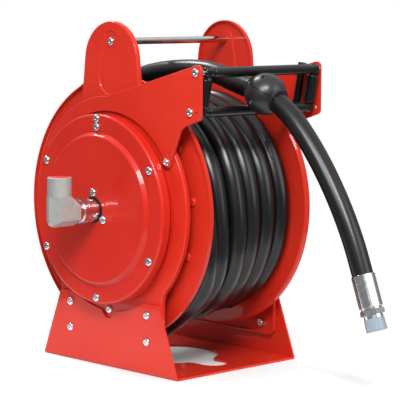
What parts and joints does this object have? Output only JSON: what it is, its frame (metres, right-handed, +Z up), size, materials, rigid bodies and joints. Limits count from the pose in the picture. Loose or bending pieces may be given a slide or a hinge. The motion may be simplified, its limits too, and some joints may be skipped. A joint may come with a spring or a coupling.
{
  "type": "hose reel",
  "caption": "Spring-rewind hose reel on a twin-pedestal base, with a roller guide, a stopper ball, a carry handle and a side inlet elbow.",
  "frame": {"origin": "centre of the base's mounting hole pattern, on the underside of the base", "axes": "+X along the reel's axis away from the inlet elbow, -Y towards the roller guide and the hanging hose, +Z up"},
  "size_m": [0.4575, 0.793, 0.628],
  "materials": {
    "red_paint": "glossy powder coat",
    "red_case_paint": "high gloss paint",
    "hose_rubber": "smooth semi-matt",
    "black_plastic": "moulded nylon, satin",
    "ball_rubber": "moulded rubber, matt",
    "zinc_screw": "bright zinc plate",
    "handle_chrome": "polished",
    "cast_silver": "matt nickel-plated casting",
    "fitting_steel": "zinc-plated steel",
    "dark_steel": "oiled spring steel",
    "bearing_bronze": "sintered bronze",
    "red_plug": "soft plastic",
    "cap_plastic": "pale translucent plastic",
    "seal_rubber": "matt"
  },
  "bodies": {
    "frame": {"base_frame": "red_paint", "near_side_plate": "red_paint", "far_side_plate": "red_paint", "near_guide_bracket": "red_paint", "far_guide_bracket": "red_paint", "near_bracket_screws": "zinc_screw", "far_bracket_screws": "zinc_screw", "near_base_screws": "zinc_screw", "far_base_screws": "zinc_screw", "near_base_nuts": "zinc_screw", "far_base_nuts": "zinc_screw", "handle_rod": "handle_chrome", "handle_screws": "zinc_screw", "spring_case": "red_case_paint", "spring_case_cover": "red_case_paint", "cover_screws": "zinc_screw", "spring_anchor_screw": "zinc_screw", "hub_screws": "zinc_screw", "hub_seal": "seal_rubber", "main_spring": "dark_steel", "near_bearing_housing": "dark_steel", "near_bearing_bush": "bearing_bronze", "far_bearing_housing": "dark_steel", "far_bearing_bush": "bearing_bronze", "far_end_cap": "red_paint", "pawl_pin": "zinc_screw", "pawl_spring": "dark_steel", "near_corner_blocks": "black_plastic", "far_corner_blocks": "black_plastic", "roller_axles": "dark_steel", "guide_posts": "black_plastic", "guide_spacers": "zinc_screw", "guide_screws": "zinc_screw", "free_hose": "hose_rubber", "ball_upper_half": "ball_rubber", "ball_lower_half": "ball_rubber", "ball_screws": "dark_steel", "hose_ferrule": "fitting_steel", "hose_nipple": "fitting_steel"},
    "drum": {"arbor_shaft": "dark_steel", "near_disc": "red_paint", "far_disc": "red_paint", "disc_rivets": "red_paint", "hub_flanges": "dark_steel", "hub_bolts": "zinc_screw", "drum_core": "red_paint", "hose_riser": "dark_steel", "wound_hose": "hose_rubber", "ratchet_wheel": "dark_steel"},
    "pawl": {"pawl": "dark_steel"},
    "inlet_swivel": {"swivel_neck": "fitting_steel", "retaining_rings": "fitting_steel", "inlet_elbow": "cast_silver"},
    "inlet_plug": {"inlet_plug": "red_plug"},
    "upper_roller": {"upper_roller": "black_plastic"},
    "lower_roller": {"lower_roller": "black_plastic"},
    "near_side_roller": {"near_side_roller": "black_plastic"},
    "far_side_roller": {"far_side_roller": "black_plastic"},
    "hose_nut": {"swivel_nut": "fitting_steel"},
    "thread_cap": {"thread_cap": "cap_plastic"}
  },
  "joints": [
    {"name": "drum_spin", "type": "hinge", "parent": "frame", "child": "drum", "pos_m": [0, 0, 0.291], "axis": [1, 0, 0], "continuous": true},
    {"name": "swivel_turn", "type": "hinge", "parent": "frame", "child": "inlet_swivel", "pos_m": [0, 0, 0.291], "axis": [1, 0, 0], "continuous": true},
    {"name": "plug_pull", "type": "slide", "parent": "inlet_swivel", "child": "inlet_plug", "axis": [0, 0, 1], "range_m": [0, 0.04]},
    {"name": "upper_roller_spin", "type": "hinge", "parent": "frame", "child": "upper_roller", "pos_m": [0, -0.2345, 0.544], "axis": [1, 0, 0], "continuous": true},
    {"name": "lower_roller_spin", "type": "hinge", "parent": "frame", "child": "lower_roller", "pos_m": [0, -0.2215, 0.475], "axis": [1, 0, 0], "continuous": true},
    {"name": "near_side_roller_spin", "type": "hinge", "parent": "frame", "child": "near_side_roller", "pos_m": [-0.135, -0.228, 0.5095], "axis": [0, -0.1851, 0.9827], "continuous": true},
    {"name": "far_side_roller_spin", "type": "hinge", "parent": "frame", "child": "far_side_roller", "pos_m": [0.135, -0.228, 0.5095], "axis": [0, -0.1851, 0.9827], "continuous": true},
    {"name": "pawl_swing", "type": "hinge", "parent": "frame", "child": "pawl", "pos_m": [0.125, 0.088, 0.323], "axis": [1, 0, 0], "range_deg": [-20, 0], "stiffness_Nm_per_rad": 0.2, "springref_deg": 5.73},
    {"name": "hose_nut_turn", "type": "hinge", "parent": "frame", "child": "hose_nut", "pos_m": [-0.022, -0.51655, 0.15163], "axis": [0, -0.3482, -0.9374], "continuous": true},
    {"name": "thread_cap_pull", "type": "slide", "parent": "frame", "child": "thread_cap", "axis": [0, -0.3482, -0.9374], "range_m": [0, 0.04]}
  ]
}
